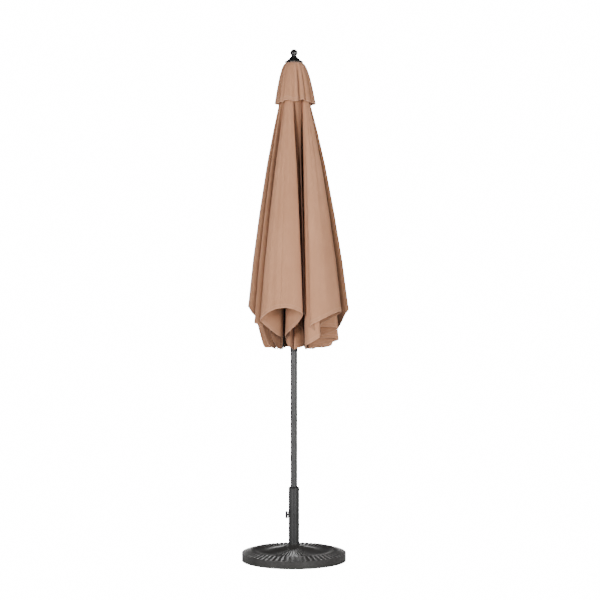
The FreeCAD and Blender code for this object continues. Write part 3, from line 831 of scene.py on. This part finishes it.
@dataclass
class Canopy:
    """The main canopy: eight panels folded round the pole, each in two halves."""

    columns: int = 88
    crown_z: float = 2.300
    crown_r: float = 0.050
    gap: float = 0.0006
    rib_foot_r: float = 0.0861
    corner_z: float = 0.991
    flat_width: float = 0.476
    flat_length: float = 1.325
    flat_area: float = 0.281
    smoothing: int = 6
    # Each mark is x, y and z of the folded hem in mm; a fourth number, where given, sets the strength of the
    # painted fold shade there, 0 to 1.
    panels: Tuple[Tuple[Tuple[float, ...], ...], ...] = (
        # between the ribs at 0 and 45 degrees
        ((125, -24, 1006), (185, -56, 1056, 1), (224, -86, 1118, 1), (240, -94, 1158, 0.75),
         (252, -80, 1176, 0.25), (257, -45, 1182), (253, 0, 1185), (243, 45, 1180),
         (224, 78, 1160), (206, 88, 1100, 0.7), (184, 86, 1008), (160, 74, 1000), (138, 84, 996),
         (112, 72, 996), (92, 80, 996)),
        # 45 and 90
        ((84, 66, 998), (122, 94, 1040), (190, 98, 1125, 0.8), (217, 108, 1160), (207, 145, 1180),
         (168, 184, 1185), (112, 214, 1180), (72, 222, 1165), (54, 198, 1130), (24, 140, 1060),
         (22, 110, 1008), (46, 102, 1002), (20, 94, 1000)),
        # 90 and 135
        ((-28, 102, 1001), (-60, 110, 1003), (-24, 124, 1010), (14, 146, 1060), (36, 205, 1138),
         (18, 234, 1170), (-30, 237, 1185), (-85, 222, 1180), (-127, 196, 1165), (-134, 168, 1130),
         (-102, 116, 1060), (-66, 96, 1004), (-28, 92, 1002), (-42, 78, 1000)),
        # 135 and 180
        ((-80, 86, 999, 0.5), (-98, 70, 998, 0.3), (-118, 92, 996, 0.2), (-144, 86, 995, 0.3),
         (-156, 98, 1040, 0.5),
         (-176, 112, 1120, 0.8), (-196, 112, 1165), (-212, 70, 1188), (-217, 20, 1190),
         (-214, -30, 1190), (-207, -60, 1182), (-192, -76, 1160, 0.5), (-150, -58, 1124, 1),
         (-186, -48, 1124, 1), (-146, -40, 1122), (-184, -28, 1122), (-142, -18, 1120),
         (-172, -8, 1100), (-134, -26, 1050, 0.5), (-112, -8, 1003, 0.1)),
        # 180 and 225
        ((-98, -18, 1001, 0.1), (-118, -32, 1004, 0.1), (-128, -42, 1030, 0.4), (-152, -50, 1112),
         (-100, -56, 1118), (-156, -60, 1118), (-102, -64, 1118), (-158, -68, 1118),
         (-104, -73, 1118), (-160, -77, 1118), (-112, -82, 1118), (-156, -85, 1118),
         (-176, -90, 1118, 0.8), (-187, -104, 1120), (-181, -120, 1114),
         (-164, -132, 1110, 0.5), (-136, -122, 1108, 1), (-92, -104, 1104), (-140, -110, 1104),
         (-90, -97, 1104), (-138, -101, 1104), (-88, -90, 1100), (-134, -93, 1100),
         (-86, -84, 1080), (-118, -84, 1080), (-84, -76, 1010), (-74, -66, 997)),
        # 225 and 270
        ((-46, -68, 1036), (-68, -74, 1060), (-45, -84, 1048), (-74, -98, 1058, 0.45),
         (-115, -122, 1091, 0.25), (-148, -141, 1119, 0.2), (-157, -152, 1124, 0.35),
         (-150, -172, 1138, 0.05), (-122, -198, 1164), (-84, -219, 1182), (-40, -231, 1188),
         (0, -231, 1181), (27, -221, 1169), (43, -206, 1160, 0.1), (38, -194, 1146, 0.3),
         (16, -178, 1112, 0.2), (-16, -154, 1084, 0.25), (-37, -134, 1062, 0.4), (-42, -104, 1046),
         (-14, -124, 1060, 1), (-40, -98, 1040, 1), (-26, -94, 1004, 0.3), (-8, -91, 1001)),
        # 270 and 315
        ((13, -91, 1001, 0.1), (30, -92, 1003, 1), (54, -96, 1006, 1), (50, -103, 1080, 1),
         (-16, -107, 1153, 1), (38, -111, 1153, 1), (-18, -116, 1153, 1), (38, -120, 1153, 1),
         (-16, -134, 1153, 1), (38, -138, 1155, 1),
         (-10, -143, 1155, 1), (38, -147, 1155, 1), (2, -154, 1155, 1), (40, -160, 1155, 1),
         (46, -184, 1158, 1), (48, -196, 1160, 1), (50, -184, 1158, 1), (48, -146, 1156, 1),
         (-6, -140, 1153, 1),
         (49, -132, 1153, 1), (-4, -124, 1150, 1), (50, -116, 1150, 1), (-2, -108, 1148, 1),
         (50, -103, 1148, 1), (56, -84, 1090, 1)),
        # 315 and 360
        ((52, -92, 1006, 0.8), (50, -130, 1009, 0.6), (50, -166, 1011, 0.3), (53, -190, 1013),
         (66, -207, 1021), (92, -217, 1036), (120, -217, 1052), (129, -213, 1058, 0.3),
         (100, -211, 1080, 0.5), (74, -211, 1100, 0.4), (68, -217, 1104), (92, -225, 1117),
         (124, -224, 1132), (162, -206, 1151), (199, -172, 1167), (221, -140, 1174, 0.1),
         (222, -126, 1164, 0.7), (170, -124, 1138, 0.6), (112, -122, 1102, 0.5),
         (106, -115, 1098, 0.6), (150, -112, 1098, 0.2), (212, -111, 1094, 0.1),
         (214, -104, 1088, 0.3), (160, -102, 1066, 0.3), (102, -98, 1048, 0.6),
         (100, -91, 1044, 0.6), (160, -93, 1046, 0.2), (214, -96, 1044, 0.1), (217, -91, 1040, 0.2),
         (140, -80, 1010, 0.3), (62, -73, 996, 0.4), (68, -58, 994, 0.6), (96, -30, 996, 1)),
    )
    split_turn: Tuple[float, ...] = (10.0, 66.0, 112.0, 168.0, 209.0, 255.0, 284.0, 334.0)
    pleats: Tuple[Tuple[Tuple[float, float], Tuple[float, float]], ...] = (
        ((0.0, 0.080), (0.0, 0.085)), ((0.0, 0.085), (0.0, 0.085)), ((0.0, 0.085), (0.0, 0.085)),
        ((0.0, 0.085), (0.0, 0.0)), ((0.0, 0.0), (0.0, 0.0)), ((0.0, 0.0), (0.0, 0.0)),
        ((0.0, 0.0), (0.0, 0.0)), ((0.0, 0.0), (0.0, 0.0)))
    least_area: float = 0.208

    def rib_foot(self, facts: FrameFacts, rib: int, side: int, height: float) -> np.ndarray:
        """Where the cloth leaves a rib at the hem.

        Args:
            facts: Places from the frame.
            rib: Which rib.
            side: Which side of it.
            height: Height of the hem there.

        Returns:
            The point.
        """
        turn = facts.turn_of(rib)
        return np.array([self.rib_foot_r * math.cos(turn) - side * self.gap * math.sin(turn),
                         self.rib_foot_r * math.sin(turn) + side * self.gap * math.cos(turn),
                         height])

    def panel_path(self, facts: FrameFacts, panel: int) -> np.ndarray:
        """Whole path of a folded panel's hem, from one rib to the next."""
        marks = np.array([mark[:3] for mark in self.panels[panel]], float) * MM
        radius = np.linalg.norm(marks[:, :2], axis=1)
        # Painted fold shade: darker where the hem lies nearer the pole, unless a mark gives its own.
        depth = smooth_step((0.190 - radius) / 0.060)
        for k, mark in enumerate(self.panels[panel]):
            if len(mark) > 3:
                depth[k] = mark[3]
        marks = np.column_stack([marks, depth])
        start = self.rib_foot(facts, panel, 1, self.corner_z)
        end = self.rib_foot(facts, panel + 1, -1, self.corner_z)
        row = np.vstack([[*start, depth[0]], marks, [*end, depth[-1]]])
        fine = resampled(row, 900)
        return resampled(eased(fine, self.smoothing * 20), 600)

    def pleated(self, path: np.ndarray, foot: np.ndarray, reach: Tuple[float, float],
                depth: float) -> np.ndarray:
        """Hidden pleats beside a rib.

        Args:
            path: Hem of the half, from its rib outward.
            foot: Where it leaves the rib.
            reach: Where the pleats start and end along the cloth.
            depth: How deep they are.

        Returns:
            The hem with its pleats.
        """
        steps = np.linalg.norm(np.diff(path[:, :2], axis=0), axis=1)
        way = np.concatenate([[0.0], np.cumsum(steps)])
        ahead = np.gradient(path[:, :2], axis=0)
        ahead /= np.linalg.norm(ahead, axis=1)[:, None]
        across = np.stack([-ahead[:, 1], ahead[:, 0]], 1)
        away = np.linalg.norm(path[:, :2] - foot[:2], axis=1)
        window = smooth_step((way - reach[0]) / 0.012) * smooth_step((reach[1] - way) / 0.025)
        row = path.copy()
        row[:, :2] += across * (np.sin(away / 0.026 * 2 * math.pi) * window * depth)[:, None]
        return row

    def half(self, facts: FrameFacts, panel: int, side: int) -> ClothHalf:
        """One half panel, its pleats as deep as its cloth needs.

        Args:
            facts: Places from the frame.
            panel: Which panel.
            side: 1 for the half beside its first rib, -1 for the other.

        Returns:
            The half, not yet built.
        """
        path = self.panel_path(facts, panel)
        turns = np.degrees(np.arctan2(path[:, 1], path[:, 0]))
        off = np.abs((turns - self.split_turn[panel] + 180.0) % 360.0 - 180.0)
        cut = int(np.argmin(off * 3.0 - np.linalg.norm(path[:, :2], axis=1) / MM))
        rib = panel if side > 0 else (panel + 1) % facts.ribs
        part = path[:cut + 1] if side > 0 else path[cut:][::-1]
        share = np.linspace(0.0, 1.0, self.columns)
        turn = facts.turn_of(rib) + side * share * math.pi / facts.ribs
        crown = np.stack([self.crown_r * np.cos(turn), self.crown_r * np.sin(turn),
                          np.full(self.columns, self.crown_z)], 1)
        reach = self.pleats[panel][0 if side > 0 else 1]
        foot = self.rib_foot(facts, rib, 0, 0.0)
        word = "left" if side > 0 else "right"
        made = None
        for depth in np.arange(0.003, 0.0131, 0.001):
            hem = resampled(self.pleated(part, foot, reach, float(depth)), self.columns)
            made = ClothHalf(f"canopy_{rib + 1}_{word}", facts, rib, side, hem[:, :3], hem[:, 3],
                             crown, Profile.CANOPY, seed=rib * 2 + (side > 0))
            if made.area() > self.least_area:
                break
        LOG.info("%s: pleats %.0f mm deep, %.3f square metres", made.name, depth * 1000,
                 made.area())
        return made

    def build(self, facts: FrameFacts, shelf: FinishShelf) -> List[Any]:
        """Make the sixteen half panels.

        Args:
            facts: Places from the frame.
            shelf: The finishes.

        Returns:
            The sheets.
        """
        made = []
        for panel in range(facts.ribs):
            for side in (1, -1):
                half = self.half(facts, panel, side)
                piece = half.build(shelf)
                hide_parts(half.name.replace("canopy", "cloth"))
                made.append(piece)
        return made


@dataclass
class VentCanopy:
    """The little top canopy, hanging like a bell under the finial."""

    columns: int = 40
    crown_z: float = 2.3405
    crown_r: float = 0.036
    hem_r: float = 0.095
    hem_z: float = 2.146
    tucks: Tuple[Tuple[float, float], ...] = (
        (4.0, 5.5), (6.0, 3.0), (4.0, 6.5), (4.5, 5.0), (6.0, 4.0), (2.2, 2.5), (11.0, 8.0),
        (6.5, 4.5))
    flat_width: float = 0.074
    flat_length: float = 0.215
    flat_area: float = 0.0082
    drops: Tuple[float, ...] = (0.0, 4.0, 0.0, 2.0, -4.0, 8.0, 10.0, -2.0)

    def half_hem(self, facts: FrameFacts, rib: int, side: int) -> np.ndarray:
        """Hem of one half, from its rib to the middle of the panel, with one tuck."""
        half = math.pi / facts.ribs
        panel = rib if side > 0 else (rib - 1) % facts.ribs
        tuck = self.tucks[panel][0 if side > 0 else 1] * MM
        share = np.linspace(0.0, 1.0, 240)
        centre = 0.42 + 0.16 * math.sin(rib * 2.1 + side)
        inside = np.exp(-((share - centre) / 0.16) ** 2)
        turn = facts.turn_of(rib) + side * half * share
        radius = self.hem_r * (1 + 0.015 * np.cos(share * math.pi)) - tuck * inside
        height = self.hem_z + (self.drops[panel] * smooth_step(share) - 3 * inside) * MM
        # Painted fold shade, darkest inside the tuck.
        depth = np.clip(inside * tuck / 0.012, 0.0, 1.0)
        return np.stack([radius * np.cos(turn) + 0.006, radius * np.sin(turn), height, depth], 1)

    def build(self, facts: FrameFacts, shelf: FinishShelf) -> List[Any]:
        """Make the sixteen half panels of the vent.

        Args:
            facts: Places from the frame.
            shelf: The finishes.

        Returns:
            The sheets.
        """
        made = []
        for rib in range(facts.ribs):
            for side in (1, -1):
                hem = resampled(self.half_hem(facts, rib, side), self.columns)
                share = np.linspace(0.0, 1.0, self.columns)
                turn = facts.turn_of(rib) + side * share * math.pi / facts.ribs
                crown = np.stack([self.crown_r * np.cos(turn), self.crown_r * np.sin(turn),
                                  np.full(self.columns, self.crown_z)], 1)
                word = "left" if side > 0 else "right"
                half = ClothHalf(f"vent_{rib + 1}_{word}", facts, rib, side, hem[:, :3],
                                 hem[:, 3], crown, Profile.VENT, rows=26, hem_band=0.014, waves=0.0006,
                                 seed=40 + rib * 2 + (side > 0), stray=0.05)
                piece = half.build(shelf)
                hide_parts("vent_canopy")
                LOG.info("made %s", piece.name)
                made.append(piece)
        return made


# ---------------------------------------------------------------- the CAD pieces
class Hardware:
    """Base, pole, frame and finial: their shapes come from the frame, their looks from here."""

    def dress(self, shelf: FinishShelf) -> None:
        """Give every CAD node the finish of its slot."""
        slots = {s["node"]: s["material_slot"] for s in frame["record"]["subparts"]}
        for name, node in frame["nodes"].items():
            shelf.dress(node, Finish(slots[name]))
        LOG.info("dressed %d nodes", len(slots))


# ---------------------------------------------------------------- studio
@dataclass
class Studio:
    """Pale floor, soft light and the camera."""

    eye_height: float = 1.223
    eye_side: float = 0.0285
    distance: float = 6.8
    field_width: float = 2.8236
    sky_light: float = 0.02
    sky_white: float = 16.0

    def floor(self) -> None:
        """A plain pale floor, white to the eye like the surroundings."""
        bpy.ops.object.select_all(action="DESELECT")
        bpy.ops.mesh.primitive_plane_add(size=60.0, location=(0, 0, 0))
        plane = bpy.context.object
        plane.name = "studio_floor"
        g = Graph("studio_floor")
        matt = g.add("ShaderNodeBsdfDiffuse", {}, {"Color": (0.9, 0.9, 0.9)})
        glow = g.add("ShaderNodeEmission", {}, {"Strength": self.sky_white})
        eye = g.out(g.add("ShaderNodeLightPath"), "Is Camera Ray")
        both = g.add("ShaderNodeMixShader", {}, {0: eye})
        output = g.add("ShaderNodeOutputMaterial")
        g.tree.links.new(matt.outputs[0], both.inputs[1])
        g.tree.links.new(glow.outputs[0], both.inputs[2])
        g.tree.links.new(both.outputs[0], output.inputs["Surface"])
        plane.data.materials.append(g.material)

    def sky(self) -> None:
        """White surroundings for the eye, dimmer ones for the light they give."""
        world = bpy.data.worlds.new("studio")
        world.use_nodes = True
        nodes, links = world.node_tree.nodes, world.node_tree.links
        back = nodes["Background"]
        back.inputs[0].default_value = (1.0, 1.0, 1.0, 1.0)
        eye = nodes.new("ShaderNodeLightPath")
        power = nodes.new("ShaderNodeMapRange")
        power.inputs["To Min"].default_value = self.sky_light
        power.inputs["To Max"].default_value = self.sky_white
        links.new(eye.outputs["Is Camera Ray"], power.inputs["Value"])
        links.new(power.outputs["Result"], back.inputs[1])
        bpy.context.scene.world = world

    def lamp(self, name: str, place: Tuple[float, float, float], aim: Tuple[float, float, float],
             size: Tuple[float, float], power: float) -> None:
        """One soft rectangular lamp.

        Args:
            name: Its name.
            place: Where it stands.
            aim: What it points at.
            size: Width and height.
            power: Its power in watts.
        """
        light = bpy.data.lights.new(name, "AREA")
        light.shape = "RECTANGLE"
        light.size, light.size_y = size
        light.energy = power
        lamp = bpy.data.objects.new(name, light)
        lamp.location = place
        lamp.rotation_euler = (Vector(aim) - Vector(place)).to_track_quat("-Z", "Y").to_euler()
        bpy.context.scene.collection.objects.link(lamp)

    def camera(self) -> None:
        """A level camera at chest height."""
        lens = bpy.data.cameras.new("camera")
        lens.sensor_width = 36.0
        lens.lens = 36.0 * self.distance / self.field_width
        camera = bpy.data.objects.new("camera", lens)
        camera.location = (self.eye_side, -self.distance, self.eye_height)
        camera.rotation_euler = (math.pi / 2, 0.0, 0.0)
        bpy.context.scene.collection.objects.link(camera)
        bpy.context.scene.camera = camera

    def build(self) -> None:
        """Set up the whole studio."""
        self.floor()
        self.sky()
        self.lamp("left_box", (-3.2, -4.4, 2.0), (0, 0, 1.15), (0.8, 2.4), 258.0)
        self.lamp("right_box", (2.9, -4.6, 1.9), (0, 0, 1.15), (0.8, 2.2), 238.0)
        self.lamp("front_fill", (0.2, -6.4, 3.0), (0, 0, 1.2), (1.2, 1.2), 8.0)
        self.lamp("back_left", (-1.9, 5.2, 2.3), (0, 0.1, 1.25), (0.9, 2.2), 95.0)
        self.lamp("back_right", (2.1, 5.1, 2.1), (0, 0.1, 1.25), (0.9, 2.2), 88.0)
        self.camera()


def main() -> None:
    """Build the umbrella and its studio."""
    logging.basicConfig(level=logging.INFO, format="%(name)s: %(message)s")
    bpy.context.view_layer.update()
    facts = FrameFacts().read()
    shelf = FinishShelf()
    Hardware().dress(shelf)
    Canopy().build(facts, shelf)
    VentCanopy().build(facts, shelf)
    Studio().build()


if __name__ == "__main__":
    main()
